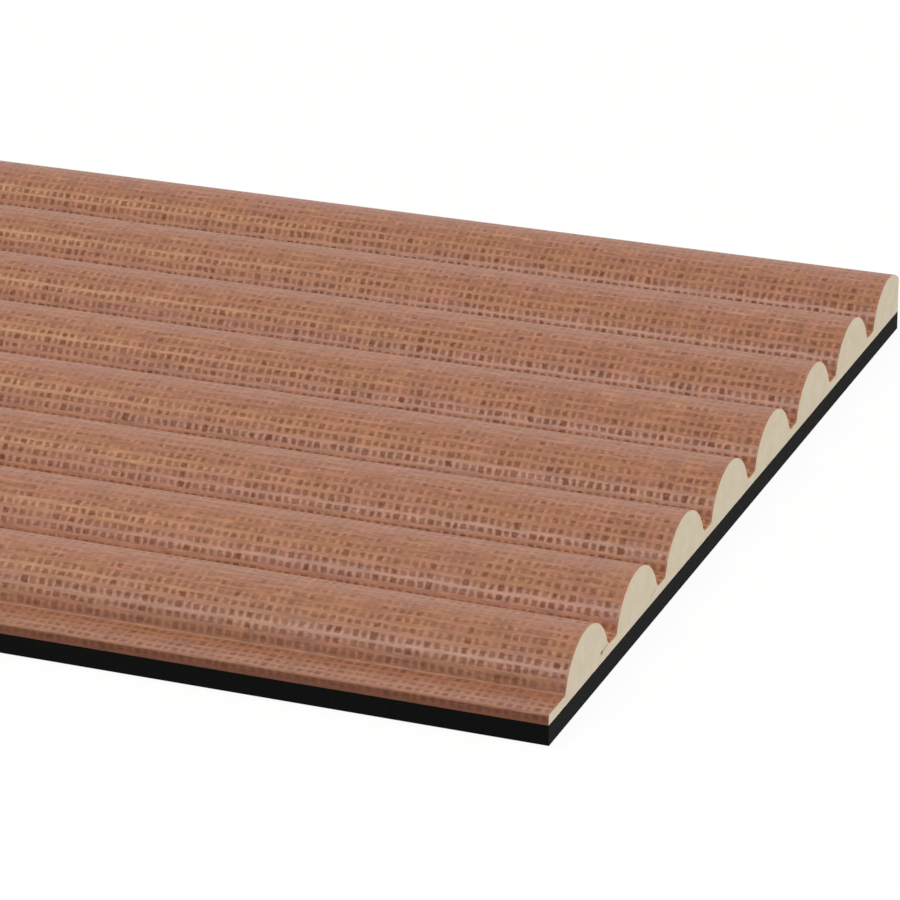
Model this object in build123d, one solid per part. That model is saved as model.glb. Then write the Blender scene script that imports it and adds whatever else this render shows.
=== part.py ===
"""Reeded acoustic wall panel: a moulded core with eight half-round reeds, wrapped in a thin woven-look film,
on a flat sheet of black felt. It lies on its back, reeds up.

Frame, in millimetres: X runs along the reeds, Y across them from the lip to the cut reed, Z up from the felt's
underside. The origin is the middle of that underside.
"""

import os

from build123d import *

# Panel
PANEL_LENGTH = 1200.0
REED_COUNT = 8
REED_PITCH = 20.0
# One panel is a whole number of pitches wide, so that the reeds run on evenly across a butt joint.
PANEL_WIDTH = REED_COUNT * REED_PITCH

# Core section, heights above the felt
WEB_HEIGHT = 1.3
CROWN_HEIGHT = 7.45
CROWN_RADIUS = 8.45
# From the lip's outer edge to the middle of the first reed. The last reed is cut off at the far edge.
LIP_TO_FIRST_REED = 14.5
CORE_EDGE_RADIUS = 0.15

# Film and felt
FILM_THICKNESS = 0.2
FILM_VALLEY_RADIUS = 0.3
FELT_THICKNESS = 3.0

LIP_EDGE = -PANEL_WIDTH / 2
CUT_EDGE = PANEL_WIDTH / 2
CROWN_CENTRE_HEIGHT = CROWN_HEIGHT - CROWN_RADIUS


def reed_centres():
    """The middle of each reed across the panel."""
    first = LIP_EDGE + LIP_TO_FIRST_REED
    return [first + i * REED_PITCH for i in range(REED_COUNT)]


def reeded_section(cover):
    """The section across the panel, with cover as the thickness laid on the bare core's top and long edges."""
    lip = LIP_EDGE + FILM_THICKNESS - cover
    cut = CUT_EDGE - FILM_THICKNESS + cover
    width = cut - lip
    middle = (lip + cut) / 2
    web_top = WEB_HEIGHT + cover
    web = Pos(middle, web_top / 2) * Rectangle(width, web_top)
    reeds = Sketch() + [Pos(y, CROWN_CENTRE_HEIGHT) * Circle(CROWN_RADIUS + cover) for y in reed_centres()]
    crown_top = CROWN_HEIGHT + cover
    room = Pos(middle, crown_top) * Rectangle(width, 2 * crown_top)
    section = web + (reeds & room)
    corners = section.vertices().filter_by(lambda v: v.Y > web_top / 2)
    edge_corners = [corners.sort_by(Axis.X)[0], corners.sort_by(Axis.X)[-1]]
    section = fillet(edge_corners, CORE_EDGE_RADIUS + cover)
    valley_corners = section.vertices().filter_by(lambda v: abs(v.Y - web_top) < 1e-6)
    valley_corners = valley_corners.sort_by(Axis.X)[1:]
    return fillet(valley_corners, FILM_VALLEY_RADIUS + FILM_THICKNESS - cover)


def along_panel(section, height):
    """A section across the panel, run the panel's whole length at a height above the underside."""
    return extrude(Plane.YZ * Pos(0, height) * section, PANEL_LENGTH / 2, both=True)


def reeded_core():
    """The moulded core: a thin web with the reeds on it, a lip on one long edge and a cut reed on the other."""
    return along_panel(reeded_section(0), FELT_THICKNESS)


def woven_film():
    """The decor film over the core's top, wrapped down both long edges to the felt."""
    return along_panel(reeded_section(FILM_THICKNESS) - reeded_section(0), FELT_THICKNESS)


def felt_backing():
    """The flat felt under the core, flush with the film on both long edges."""
    return along_panel(Rectangle(PANEL_WIDTH, FELT_THICKNESS), FELT_THICKNESS / 2)


def main():
    os.makedirs("parts", exist_ok=True)
    for make in (reeded_core, woven_film, felt_backing):
        export_step(make(), f"parts/{make.__name__}.step")


main()
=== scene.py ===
"""Looks of the reeded acoustic wall panel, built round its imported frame, in metres.

A moulded cream core with eight half-round reeds, a woven-look film wrapped over it, and felt under it.
X runs along the reeds, Y across them from the lip to the cut reed, and Z up from the felt's underside.
"""

import math

import bpy
import numpy as np
from mathutils import Matrix, Vector


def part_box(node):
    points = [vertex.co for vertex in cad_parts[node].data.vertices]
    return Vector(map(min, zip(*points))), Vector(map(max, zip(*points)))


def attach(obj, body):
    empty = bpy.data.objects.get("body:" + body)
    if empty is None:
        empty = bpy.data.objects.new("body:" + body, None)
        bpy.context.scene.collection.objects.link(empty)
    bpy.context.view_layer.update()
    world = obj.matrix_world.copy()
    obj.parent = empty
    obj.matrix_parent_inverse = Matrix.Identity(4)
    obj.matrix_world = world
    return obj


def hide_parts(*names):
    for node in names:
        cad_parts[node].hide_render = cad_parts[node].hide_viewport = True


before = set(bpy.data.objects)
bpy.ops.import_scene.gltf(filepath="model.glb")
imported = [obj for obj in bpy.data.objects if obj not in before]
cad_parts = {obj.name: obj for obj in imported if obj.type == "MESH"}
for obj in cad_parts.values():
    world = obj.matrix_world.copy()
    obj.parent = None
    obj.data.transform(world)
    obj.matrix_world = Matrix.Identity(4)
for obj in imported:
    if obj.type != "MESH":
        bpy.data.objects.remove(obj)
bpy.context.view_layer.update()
film_low, film_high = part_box("woven_film")
core_low, core_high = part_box("reeded_core")
felt_low, felt_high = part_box("felt_backing")

MM = 0.001
SAME_POINT = 0.001 * MM
QUARTER = math.pi / 2
WHITE = (1.0, 1.0, 1.0, 1.0)

# Section, as the CAD source has it
REED_COUNT = 8
REED_PITCH = 20.0 * MM
LIP_TO_FIRST_REED = 14.5 * MM
WEB_HEIGHT = 1.3 * MM
CROWN_HEIGHT = 7.45 * MM
CROWN_RADIUS = 8.45 * MM
CORE_EDGE_RADIUS = 0.15 * MM
FILM_VALLEY_RADIUS = 0.3 * MM
# The film bridges the far side of each valley a little more
FAR_VALLEY_RADIUS = 1.2 * MM
FILM_THICKNESS = 0.2 * MM
FELT_TOP = felt_high.z
FELT_EDGE_RADIUS = 0.08 * MM

# Steps along each arc of the section
CROWN_STEPS = 36
VALLEY_STEPS = 5
EDGE_STEPS = 6
SHARP_ANGLE = math.radians(35)

# UV maps: places on the flat film in millimetres, and the map that the finishes are baked on
WEAVE_MAP = "weave_mm"
BAKE_MAP = "OFBake"

# The print, in millimetres. It repeats along the film, a whole number of repeats to a panel. The gaps
# between its threads come in pairs, a wide one and a narrow one, and a split is the wide one's share of 2.
PRINT_REPEATS = 5
COLUMN_PAIRS = 92
COLUMN_SPLIT = 1.08
ROW_PAIR = 2.99
ROW_SPLIT = 1.04
ROW_START = 1.58
# Half a thread's width: the least, and how much chance adds to it
COLUMN_THREAD = (0.17, 0.16)
ROW_THREAD = (0.2, 0.14)
# Where a gap starts and where it is darkest, out from its thread's edge
COLUMN_EDGE = (-0.15, 0.19)
ROW_EDGE = (-0.15, 0.22)
# Noise that moves the threads aside: the sizes of its blobs, twice along the print and once across it, a
# shift of its own, and its reach
COLUMN_SWAYS = (((2.6, 2.6, 1.6), 3.1, 0.75), ((0.7, 0.7, 0.7), 11.3, 0.36))
ROW_SWAYS = (((7.0, 7.0, 2.2), 7.7, 0.6), ((0.7, 0.7, 0.7), 13.9, 0.36))
# The same for lengths of thread that are thicker and paler than others, along the film and across it
SLUBS = (((3.0, 3.0, 0.4), 17.2, 0.9), ((0.6, 0.6, 4.0), 19.6, 0.25))
# As shares: how much paler a narrow column's gaps are, how deep the lip's are, and how dark the ground is
# over a crown, where the gaps are shallow
NARROW_PALER = 0.12
LIP_DEPTH = 0.7
CROWN_GROUND = 0.34
# What a gap adds to the roughness, the grain's height as a share of the weave's, and the weave's height
GAP_ROUGHNESS = 0.3
GRAIN_RELIEF = 0.25
WEAVE_RELIEF = 0.03 * MM
# Across the film from its foot: the lip's fold, where the fold fades, and where the lip fades into a reed
LIP_FOLD = (WEB_HEIGHT + FILM_THICKNESS) / MM
FOLD_FADE = (LIP_FOLD - 0.35, LIP_FOLD + 0.15)
LIP_FADE = (LIP_FOLD + 5.0, LIP_FOLD + 9.0)

# Colours as a screen shows them, from 0 to 255
ROSE_THREAD = (169, 116, 93)
OCHRE_THREAD = (170, 118, 88)
# The next colour is a painted highlight: pale glints flecked on the threads
THREAD_GLINT = (200, 152, 124)
GAP_BROWN = (108, 55, 25)
FILM_EDGE = (222, 196, 168)
PALE_FILM_EDGE = (228, 206, 181)
CREAM = (222, 208, 184)
PALE_CREAM = (228, 215, 192)
PORE_BROWN = (178, 160, 132)
SLIT_SHADE = (70, 58, 44)
FELT_BLACK = (7, 7, 7)
FIBRE_GREY = (24, 24, 23)
# What the print is multiplied by as painted shade, on the fold and on the lip
FOLD_SHADE = (0.64, 0.46, 0.34, 1.0)
LIP_SHADE = (0.78, 0.74, 0.7, 1.0)

# Slits in the sawn end, drawn as painted shade: the reed that each is under, its tip and its root in
# millimetres out from that reed's middle and up from the felt, its width in millimetres, and its darkness
# from 0 to 1
SLITS = (
    (0, (8.7, 1.85), (5.7, 1.5), 0.2, 0.42),
    (0, (5.8, 1.52), (5.6, 1.48), 0.34, 0.8),
    (1, (7.9, 1.6), (5.3, 1.1), 0.16, 0.2),
)
CORE_RELIEF = 0.012 * MM
FELT_RELIEF = 0.12 * MM

# Studio
CAMERA_PLACE = Vector((0.78401, -0.57014, 0.26356))
CAMERA_AZIMUTH = math.radians(21.949)
CAMERA_ELEVATION = math.radians(22.925)
CAMERA_ROLL = math.radians(0.562)
CAMERA_LENS = 178.86
SENSOR = 36.0
FLOOR_SIZE = 60.0
FLOOR_GAP = 0.2 * MM
FLOOR_GREY = (0.08, 0.08, 0.08, 1.0)
FLOOR_GLOW = 0.93
# The dome's strength at the horizon, and what is added to it straight overhead
DOME_HORIZON = 0.06
DOME_RISE = 0.85
# Where it is seen, the backdrop is white up to this height, and darker overhead, leaning to the front
BACKDROP_TOP = 0.45
BACKDROP_LEAN = math.radians(20)
CEILING = 0.25
WARM_TOP_PLACE = Vector((-0.095, -0.14, 1.04))
FRONT_PLACE = Vector((0.285, -0.65, 0.69))
BACK_PLACE = Vector((-0.03, 1.5, 1.18))
# The two end lights, out from the middle of their ends
END_OFFSET = Vector((1.6, -0.2, 0.35))
FAR_END_OFFSET = Vector((-1.6, 0.2, 0.35))
WARM_LIGHT = (1.0, 0.78, 0.45)
SOFT_LIGHT = (1.0, 0.97, 0.95)
END_LIGHT = (1.0, 0.98, 0.95)


def reed_middle(i):
    """Where a reed's middle is across the panel, counted from the lip."""
    return film_low.y + LIP_TO_FIRST_REED + i * REED_PITCH


def arc(centre, radius, start, end, steps):
    """Points on an arc round a centre, from one angle to another."""
    angles = np.linspace(start, end, steps + 1)
    return [(centre[0] + radius * math.cos(a), centre[1] + radius * math.sin(a)) for a in angles]


def without_repeats(points):
    """The points with each one dropped that lies on the one before it."""
    kept = points[:1]
    for point in points[1:]:
        if math.dist(point, kept[-1]) > SAME_POINT:
            kept.append(point)
    return kept


def valley_corner(radius, web_top, crown_z, crown_radius):
    """The round between a reed and the web.

    Gives its radius, how far its centre is across from the reed's middle, and the angle at which that
    centre lies above the centre of the reed's arc.
    """
    rise = web_top + radius - crown_z
    run = math.sqrt((crown_radius + radius) ** 2 - rise**2)
    return radius, run, math.atan2(rise, run)


def reeded_outline(cover):
    """The section's top as (y, z) points from the lip's foot to the cut reed's, with cover on the core."""
    lip = core_low.y - cover
    cut = core_high.y + cover
    web_top = FELT_TOP + WEB_HEIGHT + cover
    crown_radius = CROWN_RADIUS + cover
    crown_z = FELT_TOP + CROWN_HEIGHT - CROWN_RADIUS
    edge_radius = CORE_EDGE_RADIUS + cover
    near = valley_corner(FILM_VALLEY_RADIUS + FILM_THICKNESS - cover, web_top, crown_z, crown_radius)
    far = valley_corner(FAR_VALLEY_RADIUS + FILM_THICKNESS - cover, web_top, crown_z, crown_radius)

    points = [(lip, FELT_TOP)]
    points += arc((lip + edge_radius, web_top - edge_radius), edge_radius, math.pi, QUARTER, EDGE_STEPS)
    for i in range(REED_COUNT):
        y = reed_middle(i)
        radius, run, foot = near
        points += arc((y - run, web_top + radius), radius, -QUARTER, -foot, VALLEY_STEPS)
        if i < REED_COUNT - 1:
            far_radius, far_run, far_foot = far
            points += arc((y, crown_z), crown_radius, math.pi - foot, far_foot, CROWN_STEPS)
            centre = (y + far_run, web_top + far_radius)
            points += arc(centre, far_radius, math.pi + far_foot, 3 * QUARTER, VALLEY_STEPS)
        else:
            corner_y = cut - edge_radius
            corner_rise = math.sqrt((crown_radius - edge_radius) ** 2 - (corner_y - y) ** 2)
            corner = math.atan2(corner_rise, corner_y - y)
            points += arc((y, crown_z), crown_radius, math.pi - foot, corner, CROWN_STEPS)
            points += arc((corner_y, crown_z + corner_rise), edge_radius, corner, 0, EDGE_STEPS)
    points.append((cut, FELT_TOP))
    return without_repeats(points)


def felt_outlines():
    """The felt's top and bottom as (y, z) points, with small rounds on its long edges."""
    left = felt_low.y + FELT_EDGE_RADIUS
    right = felt_high.y - FELT_EDGE_RADIUS
    top = felt_high.z - FELT_EDGE_RADIUS
    bottom = felt_low.z + FELT_EDGE_RADIUS
    upper = arc((left, top), FELT_EDGE_RADIUS, math.pi, QUARTER, EDGE_STEPS)
    upper += arc((right, top), FELT_EDGE_RADIUS, QUARTER, 0, EDGE_STEPS)
    lower = arc((left, bottom), FELT_EDGE_RADIUS, -math.pi, -QUARTER, EDGE_STEPS)
    lower += arc((right, bottom), FELT_EDGE_RADIUS, -QUARTER, 0, EDGE_STEPS)
    return upper, lower


def arc_lengths(points):
    """How far along the outline each point lies."""
    steps = np.linalg.norm(np.diff(np.array(points), axis=0), axis=1)
    return np.concatenate([[0.0], np.cumsum(steps)])


class Strip:
    """A closed solid between two outlines with as many points each, run through stations along X.

    Each face is a list of (station, point) corners. The points count from the upper outline's start to its
    end, and on from the lower one's end to its start. The side faces come first, then those of the ends.
    """

    def __init__(self, name, upper, lower, stations):
        self.half = len(upper)
        ring = [*upper, *reversed(lower)]
        self.count = len(ring)
        self.sides = [
            [(s, k), (s + 1, k), (s + 1, (k + 1) % self.count), (s, (k + 1) % self.count)]
            for s in range(len(stations) - 1)
            for k in range(self.count)
        ]
        self.ends = []
        for j in range(self.half - 1):
            cap = [j, self.count - 1 - j, self.count - 2 - j, j + 1]
            self.ends.append([(len(stations) - 1, k) for k in cap])
            self.ends.append([(0, k) for k in reversed(cap)])
        corners = [(x, y, z) for x in stations for y, z in ring]
        faces = [[s * self.count + k for s, k in face] for face in self.sides + self.ends]
        self.mesh = bpy.data.meshes.new(name)
        self.mesh.from_pydata(corners, [], faces)
        self.mesh.shade_smooth()
        self.mesh.set_sharp_from_angle(angle=SHARP_ANGLE)
        self.piece = bpy.data.objects.new(name, self.mesh)
        bpy.context.scene.collection.objects.link(self.piece)

    def across(self, k):
        """Which point of its outline a corner is, counted from the lip."""
        return k if k < self.half else self.count - 1 - k

    def is_foot(self, face):
        """Whether a side face joins the two outlines along a long edge."""
        return len({self.across(k) for _, k in face}) == 1

    def lay_map(self, name, place_side, place_end):
        """Adds a UV map, from two functions that take a face and one of its corners and give its place."""
        places = [place_side(face, s, k) for face in self.sides for s, k in face]
        places += [place_end(face, s, k) for face in self.ends for s, k in face]
        layer = self.mesh.uv_layers.new(name=name)
        layer.uv.foreach_set("vector", np.array(places, np.float32).ravel())

    def finish(self, node, slot, *materials):
        """Puts the piece in its CAD node's place, with its materials."""
        for material in materials:
            self.mesh.materials.append(material)
        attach(self.piece, "root")
        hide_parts(node)


def srgb(shown):
    """A colour as linear values, from the 0 to 255 that a screen shows, by the sRGB formula."""
    shares = [value / 255 for value in shown]
    linear = [s / 12.92 if s <= 0.04045 else ((s + 0.055) / 1.055) ** 2.4 for s in shares]
    return (*linear, 1.0)


class Nodes:
    """A node tree, with short calls for the nodes used here. A value is a number, a colour or a socket."""

    # The Mix node's sockets for colours
    FIRST_COLOUR = 6
    SECOND_COLOUR = 7
    MIXED_COLOUR = 2

    def __init__(self, tree):
        self.tree = tree

    def add(self, kind, **settings):
        node = self.tree.nodes.new(kind)
        for name, value in settings.items():
            setattr(node, name, value)
        return node

    def feed(self, socket, value):
        if isinstance(value, bpy.types.NodeSocket):
            self.tree.links.new(value, socket)
        else:
            socket.default_value = value

    def feed_all(self, node, values):
        for socket, value in zip(node.inputs, values):
            self.feed(socket, value)

    def feed_named(self, node, values):
        """Feeds sockets by name, with underscores for the spaces."""
        for name, value in values.items():
            self.feed(node.inputs[name.replace("_", " ")], value)

    def math(self, operation, *values):
        node = self.add("ShaderNodeMath", operation=operation)
        self.feed_all(node, values)
        return node.outputs[0]

    def product(self, first, *others):
        for other in others:
            first = self.math("MULTIPLY", first, other)
        return first

    def rest(self, share):
        """What a share leaves of 1."""
        return self.math("SUBTRACT", 1.0, share)

    def vector(self, operation, *values):
        node = self.add("ShaderNodeVectorMath", operation=operation)
        self.feed_all(node, values)
        return node.outputs["Value" if operation in ("LENGTH", "DOT_PRODUCT") else "Vector"]

    def point(self, *parts):
        node = self.add("ShaderNodeCombineXYZ")
        self.feed_all(node, parts)
        return node.outputs[0]

    def split(self, vector):
        node = self.add("ShaderNodeSeparateXYZ")
        self.feed_all(node, [vector])
        return node.outputs

    def noise(self, place, sizes, shift=0.0, detail=2.0):
        """Soft noise from 0 to 1, with blobs of about these sizes along the three axes of place.

        Each noise has a shift of its own, so that no two follow each other.
        """
        scaled = self.vector("MULTIPLY", place, [1 / size for size in sizes])
        moved = self.vector("ADD", scaled, (shift, shift, shift))
        node = self.add("ShaderNodeTexNoise")
        self.feed_named(node, {"Vector": moved, "Scale": 1.0, "Detail": detail})
        return node.outputs["Fac"]

    def wander(self, place, sizes, shift, reach):
        """Soft noise to both sides of 0, by up to half of its reach."""
        drift = self.math("SUBTRACT", self.noise(place, sizes, shift, detail=1.0), 0.5)
        return self.math("MULTIPLY", drift, reach)

    def chance(self, x, y, seed):
        """A value from 0 to 1, drawn afresh for each whole x and y."""
        node = self.add("ShaderNodeTexWhiteNoise", noise_dimensions="3D")
        self.feed(node.inputs["Vector"], self.point(x, y, seed))
        return node.outputs["Value"]

    def step(self, value, low, high, to_low=0.0, to_high=1.0):
        """A smooth step from to_low, where value is low, to to_high, where it is high."""
        node = self.add("ShaderNodeMapRange", interpolation_type="SMOOTHSTEP")
        self.feed_all(node, (value, low, high, to_low, to_high))
        return node.outputs[0]

    def mix(self, share, first, second, blend="MIX"):
        """The first colour with a share of the second mixed in."""
        node = self.add("ShaderNodeMix", data_type="RGBA", blend_type=blend)
        self.feed(node.inputs[0], share)
        self.feed(node.inputs[self.FIRST_COLOUR], first)
        self.feed(node.inputs[self.SECOND_COLOUR], second)
        return node.outputs[self.MIXED_COLOUR]

    def tint(self, colour, factor):
        """A colour multiplied by another."""
        return self.mix(1.0, colour, factor, "MULTIPLY")

    def shader(self, kind, **values):
        node = self.add(kind)
        self.feed_named(node, values)
        return node.outputs[0]

    def mix_shaders(self, share, first, second):
        node = self.add("ShaderNodeMixShader")
        self.feed_all(node, (share, first, second))
        return node.outputs[0]

    def end(self, kind, surface):
        """Ends the tree in an output node."""
        self.feed(self.add(kind).inputs["Surface"], surface)


class Finish(Nodes):
    """A new material's nodes, which feed its one shader."""

    def __init__(self, name):
        self.material = bpy.data.materials.new(name)
        self.material.use_nodes = True
        super().__init__(self.material.node_tree)
        self.shader_node = next(n for n in self.tree.nodes if n.type == "BSDF_PRINCIPLED")

    def object_place(self):
        """The place on the piece, in metres."""
        return self.add("ShaderNodeTexCoord").outputs["Object"]

    def set(self, **values):
        """Sets the shader's own sockets."""
        self.feed_named(self.shader_node, values)

    def bump(self, height, depth):
        node = self.add("ShaderNodeBump")
        self.feed_named(node, {"Distance": depth, "Height": height})
        self.set(Normal=node.outputs["Normal"])


def weave_lines(finish, place, pair, split, wrap=None):
    """Which gap a place along one direction is in, 1 for a narrow one, and its way to a thread's middle.

    The gaps come in pairs: a wide one up to split, of the pair's two parts, and then a narrow one. The
    count of pairs starts again after wrap of them.
    """
    pairs = finish.math("DIVIDE", place, pair)
    whole = finish.math("FLOOR", pairs)
    part = finish.math("MULTIPLY", finish.math("SUBTRACT", pairs, whole), 2.0)
    narrow = finish.math("GREATER_THAN", part, split)
    if wrap:
        whole = finish.math("FLOORED_MODULO", whole, wrap)
    index = finish.math("ADD", finish.math("MULTIPLY", whole, 2.0), narrow)
    from_split = finish.math("ABSOLUTE", finish.math("SUBTRACT", part, split))
    from_ends = finish.math("MINIMUM", part, finish.math("SUBTRACT", 2.0, part))
    nearest = finish.math("MINIMUM", from_split, from_ends)
    return index, narrow, finish.math("MULTIPLY", nearest, pair / 2)


def crown_offset(finish):
    """How far across the panel a place is from the nearest line of reed middles, in millimetres."""
    _, y, _ = finish.split(finish.object_place())
    from_first = finish.math("SUBTRACT", y, reed_middle(0))
    return finish.math("DIVIDE", finish.math("PINGPONG", from_first, REED_PITCH / 2), MM)


def drum_place(finish, along, across, repeat):
    """The place on the print wound on a drum, one repeat round, so that the print closes on itself."""
    turn = finish.math("MULTIPLY", along, 2 * math.pi / repeat)
    drum = repeat / (2 * math.pi)
    x = finish.math("MULTIPLY", finish.math("COSINE", turn), drum)
    y = finish.math("MULTIPLY", finish.math("SINE", turn), drum)
    return finish.point(x, y, across)


def weave_gaps(finish, place, along, across, repeat):
    """The dark gaps between the threads, from 0 on a thread to 1, some deeper than others by chance."""
    for sway in COLUMN_SWAYS:
        along = finish.math("ADD", along, finish.wander(place, *sway))
    for sway in ROW_SWAYS:
        across = finish.math("ADD", across, finish.wander(place, *sway))
    across = finish.math("SUBTRACT", across, ROW_START)
    columns = weave_lines(finish, along, repeat / COLUMN_PAIRS, COLUMN_SPLIT, COLUMN_PAIRS)
    column, narrow, off_column = columns
    row, _, off_row = weave_lines(finish, across, ROW_PAIR, ROW_SPLIT)

    def thread(line, least, spread, seed):
        drawn = finish.math("MULTIPLY", finish.chance(line, 0.0, seed), spread / 2)
        jitter = finish.math("MULTIPLY", finish.chance(column, row, seed + 0.5), spread / 2)
        return finish.math("ADD", finish.math("ADD", drawn, jitter), least)

    from_column = finish.math("SUBTRACT", off_column, thread(column, *COLUMN_THREAD, seed=1.0))
    from_row = finish.math("SUBTRACT", off_row, thread(row, *ROW_THREAD, seed=2.0))
    gap = finish.product(finish.step(from_column, *COLUMN_EDGE), finish.step(from_row, *ROW_EDGE))
    depth = finish.step(finish.chance(column, row, seed=3.0), low=0.0, high=0.9, to_low=0.7)
    paler = finish.rest(finish.math("MULTIPLY", narrow, NARROW_PALER))
    return finish.product(gap, depth, paler)


def print_wear(finish, place):
    """How much of a gap's dark is left, from stretches of wear and small blotches."""
    stretches = finish.noise(place, (3.6, 3.6, 6.0), shift=1.3)
    blotches = finish.noise(place, (0.5, 0.5, 0.5), shift=6.4)
    wear_and_glints = finish.step(stretches, low=0.36, high=0.56, to_low=0.72)
    return finish.product(wear_and_glints, finish.step(blotches, low=0.32, high=0.6, to_low=0.7))


def crown_fading(finish, place, off_crown):
    """How much of a gap's depth is left: little, in patches, on a crown, and all at the reeds' feet."""
    most = finish.step(off_crown, low=0.5, high=2.5, to_low=0.3, to_high=0.85)
    patches = finish.noise(place, (2.2, 2.2, 1.0), shift=15.1, detail=1.0)
    faded = finish.step(patches, low=0.4, high=0.6, to_low=0.15, to_high=most)
    return finish.step(off_crown, low=2.5, high=6.5, to_low=faded)


def print_colour(finish, place, share, grain):
    """The threads' colour, with that of the gaps by their share, uneven as yarn is, and with painted
    glints.
    """
    warm = finish.step(finish.noise(place, (6.0, 6.0, 3.0), shift=5.5), low=0.38, high=0.62)
    threads = finish.mix(warm, srgb(ROSE_THREAD), srgb(OCHRE_THREAD))
    colour = finish.mix(share, threads, srgb(GAP_BROWN))
    tone = 1.0
    for slub in SLUBS:
        tone = finish.math("ADD", finish.wander(place, *slub), tone)
    colour = finish.tint(colour, finish.point(tone, tone, tone))
    # Painted highlight: pale glints flecked along the threads where the grain is high
    wear_and_glints = finish.step(grain, low=0.45, high=0.8, to_high=0.16)
    return finish.mix(wear_and_glints, colour, srgb(THREAD_GLINT))


def woven_finish(repeat):
    """The film's face: pale threads round dark gaps, printed with wear, lightly embossed, with painted
    glints and shade.
    """
    finish = Finish("woven_print")
    weave = finish.add("ShaderNodeUVMap", uv_map=WEAVE_MAP).outputs[0]
    along, across, _ = finish.split(weave)
    place = drum_place(finish, along, across, repeat)
    off_crown = crown_offset(finish)

    # The gaps are shallow over a crown, and there the ground between them is darker to make up for it.
    fading = crown_fading(finish, place, off_crown)
    reeded = finish.step(across, *LIP_FADE)
    pressed = finish.math("MULTIPLY_ADD", reeded, 1 - LIP_DEPTH, LIP_DEPTH)
    gaps = weave_gaps(finish, place, along, across, repeat)
    share = finish.product(gaps, print_wear(finish, place), fading, pressed)
    share = finish.math("ADD", share, finish.math("MULTIPLY", finish.rest(fading), CROWN_GROUND))

    # Painted shade: the flat lip is a little darker, and the film's fold down its edge darker still.
    grain = finish.noise(place, (0.9, 0.9, 0.22), shift=9.2, detail=3.0)
    flat = finish.step(across, *FOLD_FADE)
    painted_shade = finish.mix(reeded, finish.mix(flat, FOLD_SHADE, LIP_SHADE), WHITE)
    colour = finish.tint(print_colour(finish, place, share, grain), painted_shade)
    sheen = finish.step(off_crown, low=1.0, high=4.0, to_low=0.37, to_high=0.31)
    finish.set(Base_Color=colour, IOR=1.45, Specular_IOR_Level=0.5)
    finish.set(Roughness=finish.math("MULTIPLY_ADD", share, GAP_ROUGHNESS, sheen))
    fuzz = finish.math("MULTIPLY", grain, GRAIN_RELIEF)
    finish.bump(finish.math("ADD", finish.rest(share), fuzz), WEAVE_RELIEF)
    return finish.material


def film_edge_finish():
    """The film's cut edges, pale where the print ends."""
    finish = Finish("film_cut_edge")
    patches = finish.noise(finish.object_place(), (1.5 * MM, 1.5 * MM, 1.5 * MM))
    colour = finish.mix(patches, srgb(FILM_EDGE), srgb(PALE_FILM_EDGE))
    finish.set(Base_Color=colour, Roughness=0.6)
    return finish.material


def slit_distance(finish, place, tip, root):
    """How far a place is from a slit in the sawn end at +X, drawn from tip to root as (y, z) points."""
    x, y, z = finish.split(place)
    run = (root[0] - tip[0], root[1] - tip[1])
    length = math.hypot(*run)
    way = (run[0] / length, run[1] / length)
    out_y = finish.math("SUBTRACT", y, tip[0])
    out_z = finish.math("SUBTRACT", z, tip[1])
    along_slit = finish.math("MULTIPLY_ADD", out_z, way[1], finish.math("MULTIPLY", out_y, way[0]))
    on_slit = finish.math("MINIMUM", finish.math("MAXIMUM", along_slit, 0.0), length)
    near_y = finish.math("SUBTRACT", out_y, finish.math("MULTIPLY", on_slit, way[0]))
    near_z = finish.math("SUBTRACT", out_z, finish.math("MULTIPLY", on_slit, way[1]))
    from_end = finish.math("SUBTRACT", core_high.x, x)
    return finish.vector("LENGTH", finish.point(from_end, near_y, near_z))


def core_finish():
    """The core's fine cream foam, with faint mottling and pores, and painted shade for the slits in its
    sawn end.
    """
    finish = Finish("cream_core")
    place = finish.object_place()
    mottling = finish.noise(place, (3 * MM, 3 * MM, 2.5 * MM), detail=3.0)
    clouds = finish.step(mottling, low=0.3, high=0.7)
    colour = finish.mix(clouds, srgb(CREAM), srgb(PALE_CREAM))
    pores = finish.noise(place, (0.35 * MM, 0.35 * MM, 0.35 * MM), shift=4.0, detail=1.0)
    pitted = finish.step(pores, low=0.64, high=0.78, to_high=0.35)
    colour = finish.mix(pitted, colour, srgb(PORE_BROWN))
    # Each slit is a dark line of painted shade on the flat end, with no notch in the mesh
    for reed, tip, root, width, strength in SLITS:
        ends = [(reed_middle(reed) + out * MM, FELT_TOP + up * MM) for out, up in (tip, root)]
        distance = slit_distance(finish, place, *ends)
        slit = finish.step(distance, low=width / 2 * MM, high=width * MM, to_low=strength, to_high=0.0)
        colour = finish.mix(slit, colour, srgb(SLIT_SHADE))
    finish.set(Base_Color=colour, Roughness=0.75, Specular_IOR_Level=0.3)
    saw_marks = finish.noise(place, (1.0, 1.2 * MM, 0.15 * MM), shift=2.0)
    finish.bump(finish.math("SUBTRACT", saw_marks, pores), CORE_RELIEF)
    return finish.material


def felt_finish():
    """Black needled felt: a dark mat of fibres, paler where it is seen along the nap."""
    finish = Finish("black_felt")
    place = finish.object_place()
    lying = finish.noise(place, (1.6 * MM, 0.25 * MM, 0.2 * MM), shift=1.0, detail=3.0)
    crossing = finish.noise(place, (0.25 * MM, 1.6 * MM, 0.2 * MM), shift=6.0, detail=3.0)
    fibres = finish.math("MAXIMUM", lying, crossing)
    raised = finish.step(fibres, low=0.5, high=0.78)
    finish.set(Base_Color=finish.mix(raised, srgb(FELT_BLACK), srgb(FIBRE_GREY)), Roughness=0.95)
    finish.set(Specular_IOR_Level=0.1, Sheen_Weight=0.06, Sheen_Roughness=0.5)
    finish.bump(fibres, FELT_RELIEF)
    return finish.material


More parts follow.
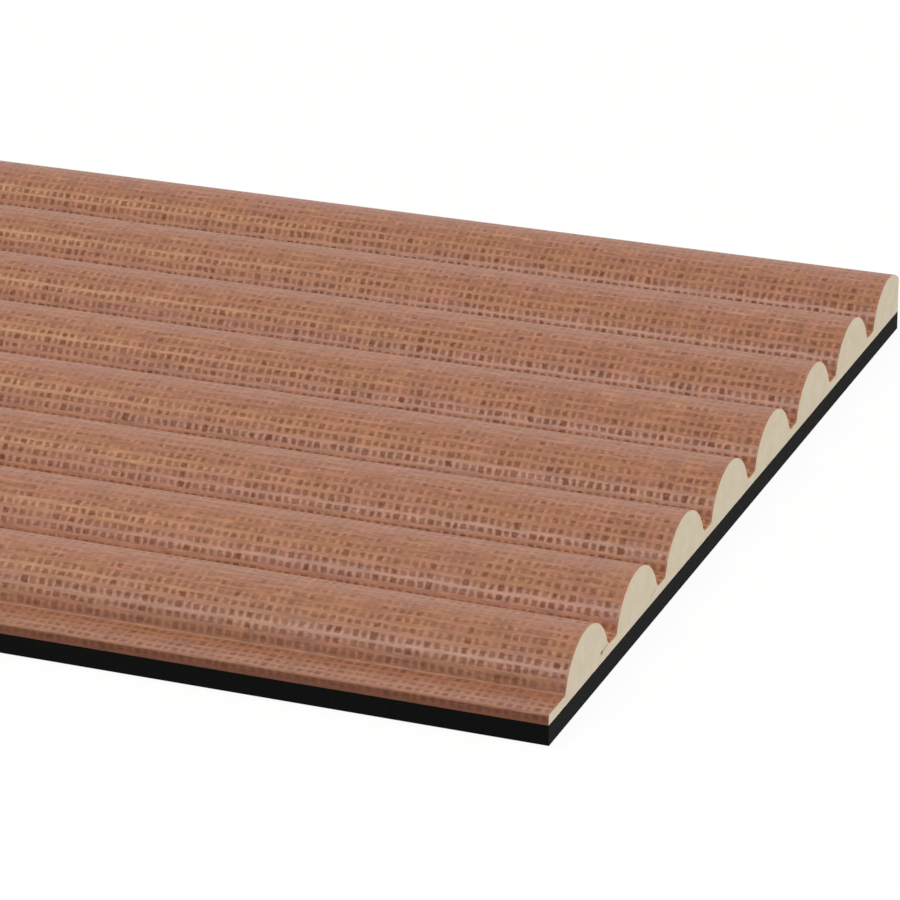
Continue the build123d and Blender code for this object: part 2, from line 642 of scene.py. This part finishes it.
def make_film():
    """The film: its face printed, its cut edges bare."""
    outer = reeded_outline(FILM_THICKNESS)
    inner = reeded_outline(0.0)
    stations = np.linspace(film_low.x, film_high.x, PRINT_REPEATS + 1)
    film = Strip("woven_decor_film", outer, inner, stations)
    lengths = arc_lengths(outer)
    # The print fills the bake's map up to here, with a strip for the cut edges above it.
    print_share = 0.94
    edge_strip = (0.965, 0.985)

    def weave_mm(face, s, k):
        return (stations[s] - stations[0]) / MM, lengths[film.across(k)] / MM

    def bake_side(face, s, k):
        start = min(station for station, _ in face)
        if film.is_foot(face):
            return s - start, edge_strip[k >= film.half]
        return s - start, lengths[film.across(k)] / lengths[-1] * print_share

    def bake_end(face, s, k):
        return lengths[film.across(k)] / lengths[-1], edge_strip[k >= film.half]

    film.lay_map(WEAVE_MAP, weave_mm, weave_mm)
    film.lay_map(BAKE_MAP, bake_side, bake_end)
    repeat = (stations[1] - stations[0]) / MM
    film.finish("woven_film", "film", woven_finish(repeat), film_edge_finish())
    bare = [film.is_foot(face) for face in film.sides] + [True] * len(film.ends)
    film.mesh.polygons.foreach_set("material_index", np.array(bare, np.int32))


def make_core():
    """The core, whose sawn ends show."""
    upper = reeded_outline(0.0)[1:-1]
    lower = [(y, FELT_TOP) for y, _ in upper]
    core = Strip("moulded_reed_core", upper, lower, np.array([core_low.x, core_high.x]))
    ring = upper + lower[::-1]
    # On the bake's map, the two ends lie one over the other, and the sides above them.
    ends_start = 0.01
    ends_pitch = 0.32
    end_share = 0.3
    sides_start = 0.65
    sides_share = 0.33

    def bake_side(face, s, k):
        # The face that closes the ring ends at the ring's full count, not back at 0.
        step = k if k or face[0][1] == 0 else core.count
        return s, sides_start + sides_share * step / core.count

    def bake_end(face, s, k):
        y, z = ring[k]
        right = (y - core_low.y) / (core_high.y - core_low.y)
        up = (z - FELT_TOP) / CROWN_HEIGHT
        return right, ends_start + ends_pitch * s + end_share * up

    core.lay_map(BAKE_MAP, bake_side, bake_end)
    core.finish("reeded_core", "core", core_finish())


def make_felt():
    """The felt sheet."""
    upper, lower = felt_outlines()
    felt = Strip("black_felt_sheet", upper, lower, np.array([felt_low.x, felt_high.x]))
    felt.finish("felt_backing", "felt", felt_finish())


def make_camera():
    """The camera at the photograph's viewing angle."""
    level = math.cos(CAMERA_ELEVATION)
    x = math.sin(CAMERA_AZIMUTH) * level
    y = -math.cos(CAMERA_AZIMUTH) * level
    back = Vector((x, y, math.sin(CAMERA_ELEVATION)))
    right = Vector((0, 0, 1)).cross(back).normalized()
    up = back.cross(right)
    turned_right = right * math.cos(CAMERA_ROLL) - up * math.sin(CAMERA_ROLL)
    turned_up = up * math.cos(CAMERA_ROLL) + right * math.sin(CAMERA_ROLL)
    data = bpy.data.cameras.new("camera")
    data.lens = CAMERA_LENS
    data.sensor_width = SENSOR
    camera = bpy.data.objects.new("camera", data)
    turn = Matrix((turned_right, turned_up, back)).transposed().to_4x4()
    camera.matrix_world = Matrix.Translation(CAMERA_PLACE) @ turn
    bpy.context.scene.collection.objects.link(camera)
    bpy.context.scene.camera = camera


def seen_directly(nodes):
    """1 for a ray from the camera, off gloss or through glass, and 0 for light that falls on the object."""
    path = nodes.add("ShaderNodeLightPath").outputs
    seen = nodes.math("MAXIMUM", path["Is Camera Ray"], path["Is Glossy Ray"])
    return nodes.math("MAXIMUM", seen, path["Is Transmission Ray"])


def make_world():
    """A soft dome, brightest overhead, and a white backdrop with a darker ceiling where it is seen."""
    world = bpy.data.worlds.new("studio")
    world.use_nodes = True
    world.node_tree.nodes.clear()
    nodes = Nodes(world.node_tree)
    direction = nodes.add("ShaderNodeTexCoord").outputs["Generated"]
    _, _, height = nodes.split(direction)
    strength = nodes.math("MULTIPLY_ADD", height, DOME_RISE, DOME_HORIZON)
    dome = nodes.shader("ShaderNodeBackground", Color=WHITE, Strength=strength)
    leaning = (0.0, -math.sin(BACKDROP_LEAN), math.cos(BACKDROP_LEAN))
    overhead = nodes.vector("DOT_PRODUCT", direction, leaning)
    strength = nodes.step(overhead, low=BACKDROP_TOP, high=1.0, to_low=1.0, to_high=CEILING)
    backdrop = nodes.shader("ShaderNodeBackground", Color=WHITE, Strength=strength)
    nodes.end("ShaderNodeOutputWorld", nodes.mix_shaders(seen_directly(nodes), dome, backdrop))
    bpy.context.scene.world = world


def make_floor():
    """A wide floor, dark to the object but white where it is seen, which keeps a faint shadow."""
    half = FLOOR_SIZE / 2
    height = felt_low.z - FLOOR_GAP
    mesh = bpy.data.meshes.new("floor")
    corners = [(-half, -half, height), (half, -half, height), (half, half, height), (-half, half, height)]
    mesh.from_pydata(corners, [], [(0, 1, 2, 3)])
    floor = bpy.data.objects.new("floor", mesh)
    bpy.context.scene.collection.objects.link(floor)
    material = bpy.data.materials.new("floor")
    material.use_nodes = True
    material.node_tree.nodes.clear()
    nodes = Nodes(material.node_tree)
    grey = nodes.shader("ShaderNodeBsdfDiffuse", Color=FLOOR_GREY)
    pale = nodes.shader("ShaderNodeBsdfDiffuse", Color=WHITE)
    glow = nodes.shader("ShaderNodeEmission", Strength=1.0)
    seen = nodes.mix_shaders(FLOOR_GLOW, pale, glow)
    nodes.end("ShaderNodeOutputMaterial", nodes.mix_shaders(seen_directly(nodes), grey, seen))
    mesh.materials.append(material)


def soft_light(name, place, target, size, watts, colour, mirrored=True):
    """A square soft light that faces a point. Gloss shows it unless it isn't mirrored."""
    data = bpy.data.lights.new(name, "AREA")
    data.size = size
    data.energy = watts
    data.color = colour
    light = bpy.data.objects.new(name, data)
    light.location = place
    light.rotation_euler = (place - target).to_track_quat("Z", "Y").to_euler()
    light.visible_glossy = mirrored
    bpy.context.scene.collection.objects.link(light)


def make_lights():
    """Soft lights: a warm one over the panel's length, one in front, one behind and one on each end."""
    end = Vector((film_high.x, 0.0, film_high.z))
    far_end = Vector((film_low.x, 0.0, film_high.z))
    soft_light("warm_top", WARM_TOP_PLACE, end, size=0.25, watts=2.6, colour=WARM_LIGHT)
    soft_light("front", FRONT_PLACE, end, size=0.26, watts=1.8, colour=SOFT_LIGHT)
    soft_light("back", BACK_PLACE, end, size=0.5, watts=0.7, colour=SOFT_LIGHT)
    for name, target, offset in (("end", end, END_OFFSET), ("far_end", far_end, FAR_END_OFFSET)):
        soft_light(name, target + offset, target, size=1.0, watts=18.8, colour=END_LIGHT, mirrored=False)


make_film()
make_core()
make_felt()
make_camera()
make_world()
make_floor()
make_lights()
bpy.context.scene.view_settings.view_transform = "Standard"
